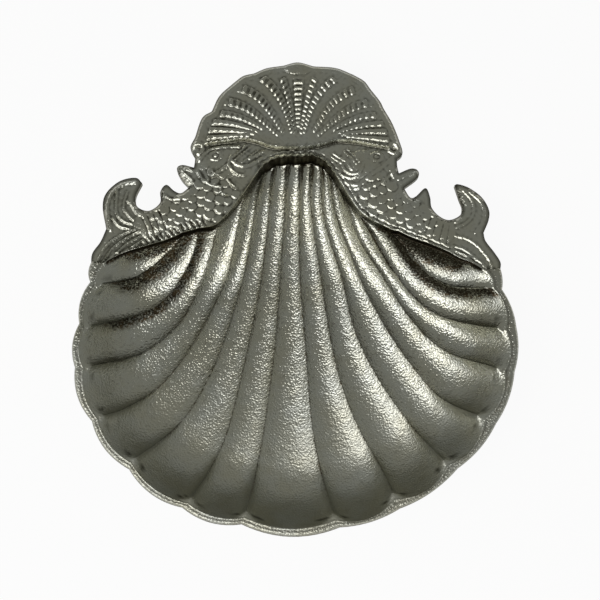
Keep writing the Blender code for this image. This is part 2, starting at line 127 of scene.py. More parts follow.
# Crest lines between the flutes, each from the foot of the ornament to the rim, left to right
RIDGES = (
    ((-37.6, 16.0), (-41.8, 14.4), (-46.8, 12.8), (-52.6, 10.9), (-56.0, 9.3), (-58.8, 7.6)),
    ((-35.4, 17.2), (-39.6, 13.2), (-43.6, 9.6), (-49.7, 4.7), (-55.5, 2.2), (-61.6, 0.3)),
    ((-30.8, 18.6), (-32.1, 14.0), (-36.3, 5.6), (-43.3, -3.0), (-53.2, -8.5), (-65.0, -13.4)),
    ((-24.7, 20.2), (-26.9, 13.2), (-32.0, -0.1), (-38.1, -10.5), (-48.8, -19.4), (-64.2, -25.8)),
    ((-16.8, 29.8), (-19.1, 20.0), (-22.1, 6.7), (-30.4, -11.9), (-40.4, -27.1), (-51.2, -36.5),
     (-59.4, -41.2)),
    ((-10.4, 39.6), (-12.6, 31.0), (-14.4, 20.1), (-16.8, 6.8), (-21.8, -11.8), (-27.6, -27.1),
     (-35.3, -40.3), (-48.8, -54.2)),
    ((-6.8, 42.0), (-8.2, 34.0), (-9.5, 20.2), (-12.0, -0.5), (-16.2, -22.7), (-20.8, -42.5),
     (-25.2, -53.7), (-31.2, -66.2)),
    ((-2.7, 42.7), (-3.4, 33.4), (-4.7, 13.6), (-6.2, -13.2), (-9.0, -38.6), (-11.7, -56.1),
     (-14.2, -70.2)),
    ((1.4, 42.8), (1.0, 28.0), (1.4, 7.0), (3.0, -12.1), (5.7, -41.1), (9.2, -58.0), (12.6, -70.6)),
    ((4.6, 43.1), (4.6, 30.0), (8.0, 7.1), (11.0, -11.4), (14.2, -25.6), (19.6, -40.1), (26.6, -53.5),
     (30.4, -64.2)),
    ((8.0, 41.8), (8.8, 26.3), (14.7, 7.1), (19.0, -10.3), (25.9, -24.9), (35.1, -38.7), (46.3, -54.0)),
    ((10.3, 39.4), (12.7, 26.3), (18.3, 12.1), (23.5, 0.5), (32.0, -14.5), (45.0, -31.5), (57.3, -39.9)),
    ((13.4, 34.4), (16.6, 26.3), (20.6, 17.1), (27.6, 7.2), (36.8, -6.7), (46.6, -16.6), (63.6, -25.1)),
    ((20.2, 24.4), (23.8, 19.5), (28.9, 12.1), (35.0, 3.5), (42.8, -4.0), (54.9, -9.5), (64.1, -12.3)),
    ((29.6, 19.0), (33.2, 15.8), (36.6, 12.0), (42.9, 6.4), (49.1, 2.8), (55.0, 1.4), (60.9, 0.9)),
    ((32.0, 18.4), (36.0, 16.5), (41.8, 14.4), (47.4, 12.0), (50.8, 10.0), (54.2, 8.8), (57.8, 6.6)),
)

# Outer points of the rim where the crest lines end, left to right
RIM_CUSPS = (
    (-63.9, 7.5), (-63.8, 1.6), (-66.6, -11.6), (-67.3, -25.3), (-61.4, -41.8), (-49.6, -56.2),
    (-33.4, -67.4), (-15.4, -72.2), (14.2, -72.8), (32.3, -67.0), (49.7, -54.9), (61.4, -41.4),
    (67.5, -25.2), (68.4, -11.4), (64.2, 0.6), (63.9, 7.0),
)
INNER_BOW = (0.11, 0.16)
OUTER_BOW = (0.11, 0.065)
BOW_REACH = 26.0
FOOT_REACH = 12.0

# Outline of the ornament from the right end of the rim to its left end, one span per corner
OUTLINE = (
    ((63.9, 7.0), (64.0, 9.5), (62.1, 12.7), (59.5, 16.3), (58.9, 18.9)),
    ((58.9, 18.9), (60.6, 23.2), (60.7, 26.6), (58.5, 30.6), (54.6, 33.6), (51.1, 34.8), (50.0, 34.4)),
    ((50.0, 34.4), (51.4, 30.0), (52.3, 27.3), (51.6, 24.6), (48.2, 23.0), (45.1, 24.2), (42.7, 27.0),
     (42.2, 30.5), (40.8, 33.4), (37.7, 30.6), (35.9, 30.3), (34.0, 33.3)),
    ((34.0, 33.3), (38.4, 36.9), (38.4, 39.2), (36.2, 39.8), (32.4, 38.2)),
    ((32.4, 38.2), (31.9, 40.5), (31.8, 42.7)),
    ((31.8, 42.7), (33.6, 44.8), (32.6, 49.0), (30.4, 54.8), (27.6, 59.9)),
    ((27.6, 59.9), (26.4, 62.4), (23.4, 66.4)),
    ((23.4, 66.4), (21.4, 69.1), (17.8, 71.3)),
    ((17.8, 71.3), (12.2, 73.5), (5.1, 74.0)),
    ((5.1, 74.0), (0.0, 75.3), (-4.8, 74.1)),
    ((-4.8, 74.1), (-10.0, 73.2), (-14.0, 71.4)),
    ((-14.0, 71.4), (-17.6, 70.4), (-20.6, 68.0)),
    ((-20.6, 68.0), (-25.0, 63.6), (-27.4, 58.3)),
    ((-27.4, 58.3), (-30.5, 55.9), (-32.5, 49.5)),
    ((-32.5, 49.5), (-33.9, 46.0), (-32.3, 42.7)),
    ((-32.3, 42.7), (-32.4, 41.0), (-32.6, 39.4)),
    ((-32.6, 39.4), (-36.4, 40.2), (-38.0, 38.9), (-36.6, 35.6), (-34.0, 32.8)),
    ((-34.0, 32.8), (-36.4, 30.9), (-38.6, 31.6), (-41.2, 33.6), (-43.0, 31.3), (-43.0, 27.6),
     (-46.4, 25.0), (-50.0, 26.2), (-50.8, 29.5), (-48.9, 34.1)),
    ((-48.9, 34.1), (-51.0, 35.8), (-56.0, 34.6), (-60.1, 30.6), (-61.0, 26.0), (-59.6, 18.9)),
    ((-59.6, 18.9), (-61.2, 14.8), (-63.6, 11.0), (-63.9, 7.5)),
)

# Ropes of the fan: bearing from the hinge at the inner end, the middle and the outer end, then
# the distance from the hinge of both ends, half the breadth at the outer end, depth of the bars
ROPES = (
    (0.0, 0.0, 0.0, 6.0, 24.0, 1.7, 0.8),
    (10.0, 10.0, 12.5, 4.0, 24.5, 1.0, 0.75),
    (19.0, 18.0, 26.5, 4.5, 26.5, 1.4, 0.8),
    (42.0, 35.5, 43.0, 6.5, 27.4, 1.6, 0.8),
    (56.0, 50.0, 56.0, 6.8, 27.8, 1.5, 0.75),
    (61.0, 60.5, 65.5, 12.0, 27.6, 1.1, 0.65),
    (67.0, 68.5, 72.5, 13.0, 28.6, 0.9, 0.35),
    (71.0, 74.5, 78.0, 14.0, 29.0, 0.85, 0.3),
    (74.5, 80.0, 83.5, 15.5, 29.2, 0.75, 0.25),
)
ROPE_PITCH = (1.3, 0.35)
ROPE_SLANT = 0.35
ROPE_RISE = 0.34
ROPE_SWELL = (0.3, 0.12)
FAN_SPAN = (33.0, 27.5)
FAN_FOOT = (
    (-30.0, 46.2), (-28.0, 46.9), (-22.8, 47.6), (-16.7, 48.3), (-11.9, 47.2), (-8.0, 45.9), (-1.6, 45.6),
    (3.9, 46.0), (8.7, 46.9), (12.2, 48.1), (15.0, 48.2), (19.0, 47.8), (24.5, 46.9), (29.3, 46.1),
)
VOLUTES = ((-31.5, 45.4), (30.8, 46.2))
BOSS = (0.1, 72.4)
BOSS_HALF = (4.6, 2.1)

# The dolphins' body lines, from the head to the tail
BODY_LEFT = ((-19.4, 38.6), (-23.7, 33.5), (-28.9, 28.5), (-35.1, 25.1), (-41.3, 22.7), (-46.6, 20.4))
BODY_RIGHT = ((19.4, 38.6), (22.7, 33.6), (27.6, 29.1), (33.9, 25.2), (40.1, 22.2), (45.6, 19.3))
BODY_HALF = (7.4, 4.6)
HEADS = ((-23.4, 40.6), (23.4, 40.6))
HEAD_HALF = (8.2, 5.6)
EYES = ((-25.7, 43.0), (25.3, 43.2))
EYE_RADIUS = 1.5

# Raised lines of the dolphins, grouped by half width and height
HEAD_LINES = (
    (0.42, 0.45, (
        ((10.8, 43.4), (14.5, 40.8)), ((11.5, 44.5), (15.3, 41.7)), ((15.0, 45.1), (18.9, 40.5)),
        ((16.1, 46.0), (19.8, 41.2)), ((16.1, 40.8), (17.4, 38.8)),
        ((-20.4, 42.1), (-16.1, 46.8)), ((-19.4, 41.6), (-15.0, 46.1)), ((-17.2, 40.7), (-12.5, 45.2)),
    )),
    (0.55, 0.5, (
        ((14.5, 40.1), (15.5, 38.4), (17.4, 37.3), (19.3, 37.5), (20.5, 38.8), (21.0, 40.8)),
        ((13.2, 38.1), (14.8, 36.8), (17.0, 36.1), (18.9, 36.5)),
        ((-21.6, 40.0), (-20.3, 38.0), (-18.4, 36.7), (-16.5, 36.6)),
        ((-21.9, 35.3), (-20.6, 33.7), (-18.9, 32.2)), ((-24.0, 32.3), (-23.3, 30.3), (-21.7, 29.9)),
        ((-26.7, 38.0), (-25.7, 36.6), (-24.4, 36.2)),
        ((29.7, 38.9), (30.7, 36.6)), ((27.2, 35.9), (27.8, 34.6)),
    )),
    (0.8, 0.45, (
        ((-14.9, 42.1), (-12.6, 43.6), (-10.8, 44.7)),
        ((-30.9, 41.6), (-29.1, 44.1), (-26.9, 45.5), (-23.1, 46.1), (-18.3, 46.3)),
        ((-20.8, 42.7), (-21.6, 40.0), (-23.8, 38.0), (-26.9, 36.0)),
        ((-31.4, 37.9), (-29.8, 35.3), (-26.9, 33.3), (-23.7, 32.7)),
        ((-29.2, 37.4), (-27.8, 35.1)), ((-20.7, 41.3), (-18.1, 39.6), (-15.0, 39.9), (-11.2, 42.4)),
        ((15.2, 34.8), (18.3, 33.8), (21.2, 34.5), (23.4, 36.5)),
        ((30.4, 43.3), (27.2, 39.9), (23.7, 37.2), (20.5, 34.8)),
        ((32.0, 41.0), (29.7, 37.3), (25.6, 33.9), (21.8, 32.5)),
    )),
)
FIN_LINES = (
    (0.55, 0.55, (
        ((-42.3, 31.8), (-41.3, 29.8), (-39.3, 28.5), (-36.2, 28.5)),
        ((-36.9, 39.2), (-35.6, 37.4), (-33.4, 35.4), (-32.6, 34.0)),
        ((-37.0, 37.6), (-35.0, 38.6), (-33.2, 38.2)),
        ((32.2, 35.9), (35.1, 37.3), (38.0, 38.3)),
        ((36.3, 29.7), (38.8, 31.0), (40.7, 32.4)), ((37.2, 28.7), (38.8, 28.7)),
    )),
)
TAIL_LINES = (
    (0.6, 0.5, (
        ((50.5, 33.5), (52.4, 30.2), (53.3, 26.9), (52.3, 23.9), (50.0, 22.2)),
        ((52.7, 32.5), (55.5, 28.9), (55.7, 24.9), (53.5, 22.0), (50.3, 20.3)),
        ((54.6, 32.2), (58.0, 28.9), (59.2, 25.6), (58.5, 22.3), (56.2, 18.7)),
        ((-53.2, 28.0), (-51.6, 26.4), (-50.2, 24.1), (-48.3, 22.8)),
        ((-53.4, 31.0), (-54.4, 26.4), (-53.0, 23.7), (-51.1, 21.8)),
        ((-56.6, 31.4), (-56.6, 24.4), (-54.2, 21.4), (-51.6, 20.5)),
        ((-57.7, 22.4), (-55.4, 19.8), (-52.2, 18.8)),
        ((-50.9, 34.0), (-54.7, 33.3), (-58.0, 30.6), (-59.4, 26.6), (-58.9, 22.4), (-58.1, 18.4)),
    )),
    (0.5, 0.5, (
        ((50.0, 17.7), (54.3, 16.4), (58.0, 13.2), (60.7, 9.3), (61.6, 5.1)),
        ((48.6, 13.1), (52.7, 11.5), (56.0, 8.6), (58.5, 5.8)),
        ((49.0, 14.4), (52.4, 13.4), (56.0, 10.8), (59.4, 7.2)),
        ((-49.0, 18.2), (-53.6, 15.6), (-57.6, 12.3), (-60.2, 8.0)),
        ((-48.7, 16.6), (-52.6, 14.3), (-56.5, 10.6), (-59.2, 8.0)),
        ((-48.0, 15.3), (-51.9, 12.6), (-55.6, 10.0), (-58.3, 8.0)),
        ((-50.6, 18.8), (-55.5, 16.5), (-59.5, 12.9), (-62.0, 8.0)),
    )),
)
# Grooves between the bodies and the tails, grouped by half width and depth below the surface
TAIL_NOTCHES = (
    (0.5, -0.3, (
        ((44.1, 22.2), (42.7, 17.6)), ((46.3, 21.5), (44.9, 16.3)), ((48.1, 21.2), (47.1, 15.3)),
        ((42.2, 22.8), (40.6, 18.6)),
        ((-48.9, 23.1), (-47.2, 19.9), (-45.8, 16.0)), ((-47.0, 23.5), (-45.3, 19.9), (-44.0, 16.6)),
        ((-45.2, 24.2), (-43.5, 20.6), (-42.4, 17.6)), ((-43.2, 24.6), (-41.6, 21.0), (-40.8, 18.6)),
    )),
)
# Rows of scales across a body, as shares of its half breadth
SCALE_ROWS = (-0.75, -0.35, 0.05, 0.43, 0.8, 1.15, 1.5)
SCALE_SHIFT = 0.35
SCALE_PITCH = 3.3
SCALE_RADIUS = 1.95
SCALE_RISE = 0.8

# Tarnish bands below a crest: flute, breadth, strength, start and end along the flute
TARNISH_BANDS = (
    (0, 2.8, 1.0, 0.0, 20.0), (1, 3.8, 1.0, 0.0, 30.0), (2, 2.4, 1.0, 0.0, 46.0),
    (12, 1.3, 0.9, 0.0, 24.0), (13, 3.3, 1.0, 0.0, 48.0), (14, 4.8, 1.0, 0.0, 27.0),
)
# The rolled rim from the bowl outwards: share of its breadth, lift over the rim level, tarnish
RIM_PROFILE = (
    (0.07, 0.2, 0.0), (0.14, 0.32, 0.0), (0.22, 0.25, 0.1), (0.3, 0.12, 0.3), (0.42, 0.16, 0.25),
    (0.56, 0.22, 0.15), (0.7, 0.2, 0.1), (0.82, 0.08, 0.05), (0.92, -0.2, 0.1), (1.0, -0.7, 0.5),
)

# What each point of the surface carries: roughness of the casting, brown tarnish, dark grime with painted
# shade
SURFACE_LAYERS = ("grain", "tarnish", "grime_and_shade")
# Strength of the painted shade along the ornament's rounded outer edge and under its border
EDGE_SHADE = 0.8
# Spans near the hinge and far out along the wall where painted shade darkens the wall below the ornament;
# the one near the hinge also scallops the wall
NEAR_HINGE = (14.0, 4.0)
FAR_SHADE = (23.0, 5.0)
# Grime and painted shade in the grooves of the ornament
HOLLOW_REACH = 1.6
HOLLOW_STEPS = 10
HOLLOW_DEPTH = 0.14
HOLLOW_SHADE = 0.95

# Finish: colours, roughness, texture scales per metre, places and depths in metres
SILVER = ((0.48, 0.472, 0.393, 1.0), (0.498, 0.505, 0.46, 1.0))
# Colour of the painted shade in the pits of the cast grain
PIT_SHADE_COLOUR = (0.2, 0.19, 0.15, 1.0)
# Colour of the dark grime and the painted shade
GRIME_AND_SHADE_COLOUR = (0.085, 0.082, 0.062, 1.0)
TARNISH_COLOURS = ((0.022, 0.018, 0.012, 1.0), (0.1, 0.073, 0.042, 1.0))
GRAZING_TINT = (0.6, 0.6, 0.56, 1.0)
ROUGHNESS = (0.15, 0.22)
SATIN = 0.2
SATIN_SPAN = (-0.05, -0.012)
PEBBLE_SCALE = 1500.0
FINE_SCALE = 1900.0
LUMP_SCALE = 420.0
PATCH_SCALE = 95.0
BUMP_DEPTH = 0.00024

# View and light, in degrees, metres and watts, and the lens in mm
ELEVATION = 77.4
ROLL = 0.6
DISTANCE = 0.4285
TARGET = (0.00127, -0.00252, 0.015)
LENS = 82.37
FLOOR_COLOUR = (0.8, 0.8, 0.8, 1.0)
FLOOR_GLOW = 0.93
SKY_COLOUR = (0.268, 0.272, 0.252, 1.0)
LIGHTS = (
    ("key", (-0.254, -0.546, 0.799), (1.0, 0.62), 5.0),
    ("side", (-0.714, -0.333, 0.616), (0.7, 0.8), 2.0),
)


def run_along(line):
    """Length along a line up to each of its points."""
    return np.concatenate([[0.0], np.cumsum(np.hypot(*np.diff(line[:, :2], axis=0).T))])


def curve(points, fractions):
    """Points of the smooth curve through the given plan points, at fractions of its length."""
    p = np.array(points, dtype=float)
    ends = np.vstack([2 * p[0] - p[1], p, 2 * p[-1] - p[-2]])
    t = np.linspace(0.0, 1.0, 24, endpoint=False)[:, None]
    pieces = []
    for a, b, c, d in zip(ends, ends[1:], ends[2:], ends[3:]):
        pieces.append(0.5 * (2 * b + (c - a) * t + (2 * a - 5 * b + 4 * c - d) * t ** 2
                             + (3 * b - a - 3 * c + d) * t ** 3))
    dense = np.vstack(pieces + [p[-1:]])
    run = run_along(dense)
    at = np.asarray(fractions) * run[-1]
    return np.stack([np.interp(at, run, dense[:, 0]), np.interp(at, run, dense[:, 1])], axis=1)


def curve_length(points):
    """Length of the smooth curve through the given plan points."""
    fine = curve(points, np.linspace(0.0, 1.0, 60))
    return float(np.hypot(*np.diff(fine, axis=0).T).sum())


def smooth(x):
    """Eases from 0 to 1 as x goes from 0 to 1."""
    x = np.clip(x, 0.0, 1.0)
    return x * x * (3.0 - 2.0 * x)


def bow(start, end, share, f):
    """Offset from the chord start-end to its shallow outward arc, at fraction f."""
    chord = end - start
    return np.array([chord[1], -chord[0]]) * share * 4.0 * f * (1.0 - f)


def crest_level(p):
    """Height of the crest lines over the table, before the wall at the rim."""
    hinge = np.hypot(p[:, 0] - FAN_HINGE[0], p[:, 1] - FAN_HINGE[1])
    side = np.hypot(2 * p[:, 0] / DISH_WIDTH, END_SHARE * 2 * p[:, 1] / DISH_LENGTH)
    return RIDGE_LEVEL + HINGE_RISE * np.exp(-(hinge / HINGE_REACH) ** 2) + SIDE_RISE * side ** 3


def flute_depth(breadth, f):
    """Depth of the scoop below the crests, at fraction f across a flute of some breadth."""
    profile = 1.0 - np.abs(2 * f - 1) ** FLUTE_SHAPE
    return FLUTE_DEPTH * (1.0 - np.exp(-breadth / FLUTE_SPREAD)) * profile


def end_rise(level, start, distance, reach):
    """Height with the curved end wall added, at a distance inside the rim."""
    return start + (level - start) * np.clip(1.0 - distance / reach, 0.0, 1.0) ** 2


def corner_offset(breadth, f):
    """How far the rounded corner of a flute's end lies inside the rim, at fraction f across."""
    radius = np.minimum(END_CORNER, breadth / 3)
    into = np.clip((np.abs(2 * f - 1) * breadth / 2 - breadth / 2 + radius) / radius, 0.0, 1.0)
    return 0.8 * radius * (1.0 - np.sqrt(1.0 - 0.97 * into ** 2))


def foot_curve(k, f):
    """Point of the smooth foot line through the starts of the crest lines, in flute k."""
    starts = np.array([ridge[0] for ridge in RIDGES])
    a = starts[max(k - 1, 0)]
    b, c = starts[k], starts[k + 1]
    d = starts[min(k + 2, len(starts) - 1)]
    before, after = c - a, d - b
    if np.hypot(*(b - a)) > 0:
        before = before * np.hypot(*(c - b)) * 2 / (np.hypot(*(c - b)) + np.hypot(*(b - a)))
    if np.hypot(*(d - c)) > 0:
        after = after * np.hypot(*(c - b)) * 2 / (np.hypot(*(c - b)) + np.hypot(*(d - c)))
    return (b * (1 + 2 * f) * (1 - f) ** 2 + c * f ** 2 * (3 - 2 * f)
            + 0.5 * before * f * (1 - f) ** 2 - 0.5 * after * f ** 2 * (1 - f))


@functools.cache
def foot_line():
    """Plan line of the ornament's foot round the bowl, from the left rim end to the right."""
    points = [foot_curve(k, f) for k in range(len(RIDGES) - 1) for f in (0.0, 0.25, 0.5, 0.75)]
    left = curve(RIDGES[0], np.linspace(1.0, 0.0, 16))[:-1]
    return np.vstack([left, points, curve(RIDGES[-1], np.linspace(0.0, 1.0, 16))])


def bowl_level(p):
    """Height of the crest lines with the slope that climbs to the ornament's foot."""
    gap, _ = line_distance(p, foot_line())
    span = smooth((np.abs(p[:, 0] - FAN_HINGE[0]) - FOOT_SPAN[0]) / (FOOT_SPAN[1] - FOOT_SPAN[0]))
    foot_level = FOOT_LEVELS[0] + (FOOT_LEVELS[1] - FOOT_LEVELS[0]) * span
    return end_rise(foot_level, crest_level(p), gap, FOOT_RUN)


def bowl_columns(shares):
    """Flute number, place across it, length and half of the dish for each bowl column."""
    lengths = [curve_length(r) for r in RIDGES]
    flutes = len(RIDGES) - 1
    places = [(k, f) for k in range(flutes) for f in shares] + [(flutes - 1, 1.0)]
    columns = []
    for k, f in places:
        columns.append((k, f, lengths[k] * (1 - f) + lengths[k + 1] * f, 0 if k < flutes / 2 else 1))
    return columns


def column_points(column, fractions):
    """Plan line of a bowl column, the breadth of its flute and the distance to the rim."""
    k, f, length, half = column
    a = curve(RIDGES[k], fractions)
    b = curve(RIDGES[k + 1], fractions)
    line = a * (1 - f) + b * f
    inside = (1.0 - fractions) * length
    at_rim = smooth(1.0 - inside / min(BOW_REACH, length))
    at_foot = smooth(1.0 - fractions * length / FOOT_REACH)
    chord = np.array(RIDGES[k][0]) * (1 - f) + np.array(RIDGES[k + 1][0]) * f
    foot = foot_curve(k, f) - chord
    line = line + at_rim[:, None] * bow(a[-1], b[-1], INNER_BOW[half], f) + at_foot[:, None] * foot
    return line, np.hypot(*(b - a).T), inside


def bowl_grid(columns):
    """Top surface of the bowl as rows by columns of (x, y, z, grain, tarnish, grime and painted shade).
    """
    grid = []
    for column in columns:
        _, f, length, half = column
        floor_end = 1.0 - END_WALL / length
        wall = 1.0 - (END_WALL / length) * np.linspace(1.0, 0.0, WALL_ROWS + 1)[1:] ** 1.3
        fractions = np.concatenate([np.linspace(0.0, floor_end, FLOOR_ROWS + 1), wall])
        line, breadth, inside = column_points(column, fractions)
        distance = inside - corner_offset(breadth, f)
        level = end_rise(RIM_LEVEL, bowl_level(line), distance, END_WALL)
        level = level - flute_depth(breadth, f) * smooth(distance / FLUTE_FADE)
        grain = bowl_grain(line, inside)
        stain = bowl_tarnish(column, line, breadth, inside)
        grime_and_shade = stain * (0.9 if half == 1 else 0.2) * smooth((stain - 0.5) / 0.3)
        grid.append(np.column_stack([line, level, grain, stain, grime_and_shade]))
    return np.array(grid).transpose(1, 0, 2)


def bowl_grain(line, inside):
    """Grain in the bowl: finer near the rim, at the hinge and towards the lobes."""
    hinge = np.hypot(*(line - np.array(FAN_HINGE)).T)
    grain = 0.6 + 0.4 * smooth((inside - 2.0) / 14.0)
    grain = grain * (0.4 + 0.6 * smooth((hinge - 7.0) / 13.0))
    return grain * (1.0 - 0.2 * smooth((-22.0 - line[:, 1]) / 20.0))


def bowl_tarnish(column, line, breadth, inside):
    """Tarnish in the bowl: thin on the crests, in bands along some flutes, and tarnish with painted shade
    under the ornament.
    """
    k, f, length, half = column
    run = length - inside
    crest = np.minimum(f, 1 - f) * breadth
    level = 0.55 * smooth(1.0 - crest / 0.45) * smooth(inside / 16.0)
    for flute, reach, strength, start, end in TARNISH_BANDS:
        if flute == k:
            across = (f if half == 0 else 1 - f) * breadth
            span = smooth((run - start) / 2.0 + 1.0) * smooth((end - run) / 6.0)
            level = np.maximum(level, strength * smooth(1.35 - across / reach) * span)
    # Tarnish with painted shade along the crease at the foot of the wall below the ornament
    gap, _ = line_distance(line, foot_line())
    off_middle = np.abs(line[:, 0] - FAN_HINGE[0])
    shade_share = 0.4 + 0.6 * smooth((off_middle - FAR_SHADE[0]) / FAR_SHADE[1])
    return np.maximum(level, shade_share * smooth(1.1 - gap / 0.8))


def outward(line):
    """Unit plan normals of a line, to its left, evened out over a few millimetres."""
    xy = line[:, :2]
    run = run_along(xy)
    ends = []
    for shift in (-NORMAL_REACH, NORMAL_REACH):
        ends.append(np.column_stack([np.interp(run + shift, run, xy[:, i]) for i in (0, 1)]))
    along = ends[1] - ends[0]
    along /= np.hypot(*along.T)[:, None]
    return np.column_stack([-along[:, 1], along[:, 0]])


def rim_rows(columns, inner):
    """Rows of the rounded rim, from the row next to the bowl to its outer edge."""
    outer = []
    for k, f, _, half in columns:
        a = np.array(RIM_CUSPS[k])
        b = np.array(RIM_CUSPS[k + 1])
        outer.append(a * (1 - f) + b * f + bow(a, b, OUTER_BOW[half], f))
    outer = np.array(outer)
    rows = []
    for f, lift, stain in RIM_PROFILE:
        xy = inner[:, :2] * (1 - f) + outer * f
        rest = np.tile((RIM_LEVEL + lift, 0.9, stain, 0.0), (len(xy), 1))
        rows.append(np.column_stack([xy, rest]))
    return rows


def wall_rows(foot):
    """Rows from the foot of the ornament up the wall to the lip, with a fillet and a rounded lip,
    darkened with painted shade.
    """
    across = curve(LIP_PROFILE, np.linspace(0, 1, LIP_ROWS))
    off_middle = np.abs(foot[:, 0] - FAN_HINGE[0])
    near_hinge = smooth((NEAR_HINGE[0] - off_middle) / NEAR_HINGE[1])
    scallop = SCALLOP_DEPTH * np.cos(2 * np.pi * run_along(foot) / SCALLOP_PITCH) * near_hinge
    normal = outward(foot) * (1.0 + scallop)[:, None]
    rise = LIP_LEVEL - foot[:, 2]
    shade_share = np.maximum(near_hinge, smooth((off_middle - FAR_SHADE[0]) / FAR_SHADE[1]))
    rows = []
    for reach, climb in across:
        xy = foot[:, :2] + normal * LIP_RUN * reach
        # Painted shade over a little tarnish on the wall: strongest near the hinge and far out, fading at
        # the lip
        stain = (0.35 + 0.65 * shade_share) * (1.0 - smooth((climb - 0.88) / 0.12))
        rows.append(plain_spots(xy, foot[:, 2] + rise * climb, 0.6, stain, stain))
    return rows


def ornament_outline():
    """Outer edge of the ornament, right end of the rim to the left end."""
    points = []
    for span in OUTLINE:
        count = max(2, round(curve_length(span) / OUTLINE_STEP))
        points.append(curve(span, np.linspace(0.0, 1.0, count + 1))[:-1])
    return np.vstack(points + [curve(OUTLINE[-1], [1.0])])


def line_distance(points, line):
    """Distance from each point to a polyline, and how far along it the nearest place is."""
    best = np.full(len(points), 1e9)
    where = np.zeros(len(points))
    run = 0.0
    for a, b in zip(line, line[1:]):
        step = b - a
        size = float(np.hypot(*step))
        t = np.clip((points - a) @ step / size ** 2, 0.0, 1.0)
        gap = np.hypot(*(points - a - t[:, None] * step).T)
        nearer = gap < best
        best = np.where(nearer, gap, best)
        where = np.where(nearer, run + t * size, where)
        run += size
    return best, where


def inside_loop(points, loop):
    """Which plan points lie inside a closed loop."""
    x, y = points.T
    inside = np.zeros(len(points), dtype=bool)
    for (xa, ya), (xb, yb) in zip(loop, np.roll(loop, -1, axis=0)):
        if ya != yb:
            inside ^= ((ya > y) != (yb > y)) & (x < xa + (y - ya) * (xb - xa) / (yb - ya))
    return inside


def hex_points(loop, step, clear):
    """Evenly staggered points inside a loop, kept clear of its edge."""
    low, high = loop.min(axis=0), loop.max(axis=0)
    rows = []
    for number, y in enumerate(np.arange(low[1], high[1], step * np.sqrt(3) / 2)):
        x = np.arange(low[0] + (number % 2) * step / 2, high[0], step)
        rows.append(np.column_stack([x, np.full(len(x), y)]))
    points = np.vstack(rows)
    points = points[inside_loop(points, loop)]
    gap, _ = line_distance(points, np.vstack([loop, loop[:1]]))
    return points[gap > clear]


def inset_points(line, side, reach, loop):
    """Points of a line moved to its left or right, where they stay that far from it."""
    moved = line + outward(line) * side * reach
    gap, _ = line_distance(moved, line)
    edge_gap, _ = line_distance(moved, np.vstack([loop, loop[:1]]))
    clear = (gap > 0.93 * reach) & (edge_gap > 0.9 * min(reach, EDGE_LOOPS[0]))
    return moved[clear & inside_loop(moved, loop)]


def raise_lines(level, p, groups):
    """Adds rounded lines to the heights; where two of a group cross, the higher one counts."""
    for half, rise, lines in groups:
        added = np.zeros(len(p))
        for line in lines:
            fine = curve(line, np.linspace(0.0, 1.0, 14))
            near = np.all((p > fine.min(axis=0) - half) & (p < fine.max(axis=0) + half), axis=1)
            gap, _ = line_distance(p[near], fine)
            added[near] = np.maximum(added[near], smooth(1.0 - gap / half))
        level += rise * added
    return level


def rope_level(p):
    """The fan's ropes: cross bars that swell along each rib from the hinge outwards."""
    level = np.zeros(len(p))
    d = p - np.array(FAN_HINGE)
    reach = np.hypot(*d.T)
    for inner, middle, outer, start, end, breadth, depth in ROPES:
        run = reach - start
        share = np.clip(run / (end - start), 0.0, 1.0)
        bearing = (inner * (1 - share) * (1 - 2 * share) + 4 * middle * share * (1 - share)
                   + outer * share * (2 * share - 1))
        half = 0.5 + (breadth - 0.5) * share
        ends = smooth(run / 0.8) * smooth((end - reach) / 1.0 + 0.25)
        for side in (-1, 1):
            across = reach * (np.arctan2(side * d[:, 0], d[:, 1]) - np.radians(bearing))
            body = smooth((half - np.abs(across)) / 0.5 + 0.5)
            slant = ROPE_SLANT * across * (inner > 0)
            pitch = ROPE_PITCH[0] + ROPE_PITCH[1] * share
            bars = smooth(0.5 + 0.7 * np.cos(2 * np.pi * (run + slant) / pitch))
            swell = ROPE_SWELL[0 if side < 0 else 1]
            rise = (ROPE_RISE + swell * share) * (1.0 - depth + depth * bars)
            level = np.maximum(level, rise * body * ends)
    return level


def fan_level(p, inside):
    """Low fan shell with a crisp lower edge, its ropes and a plain rounded border."""
    d = p - np.array(FAN_HINGE)
    foot = curve(FAN_FOOT, np.linspace(0.0, 1.0, 60))
    above = p[:, 1] - np.interp(p[:, 0], foot[:, 0], foot[:, 1])
    over = smooth(above / 0.7 + 0.5)
    spread = (d[:, 0] / FAN_SPAN[0]) ** 2 + (d[:, 1] / FAN_SPAN[1] - 0.35) ** 2
    level = over * (FAN_STEP + FAN_CROWN * np.clip(1.0 - spread, 0.0, 1.0))
    level += over * smooth((inside - 1.6) / 1.2) * rope_level(p)
    rolled = 0.14 * smooth(1.0 - np.abs(inside - 1.9) / 0.9) * smooth(above / 3.0)
    ledge = 0.4 * smooth(1.0 - np.abs(above - 0.45) / 0.5)
    return level + rolled + ledge * smooth((30.5 - np.abs(d[:, 0])) / 2.0)


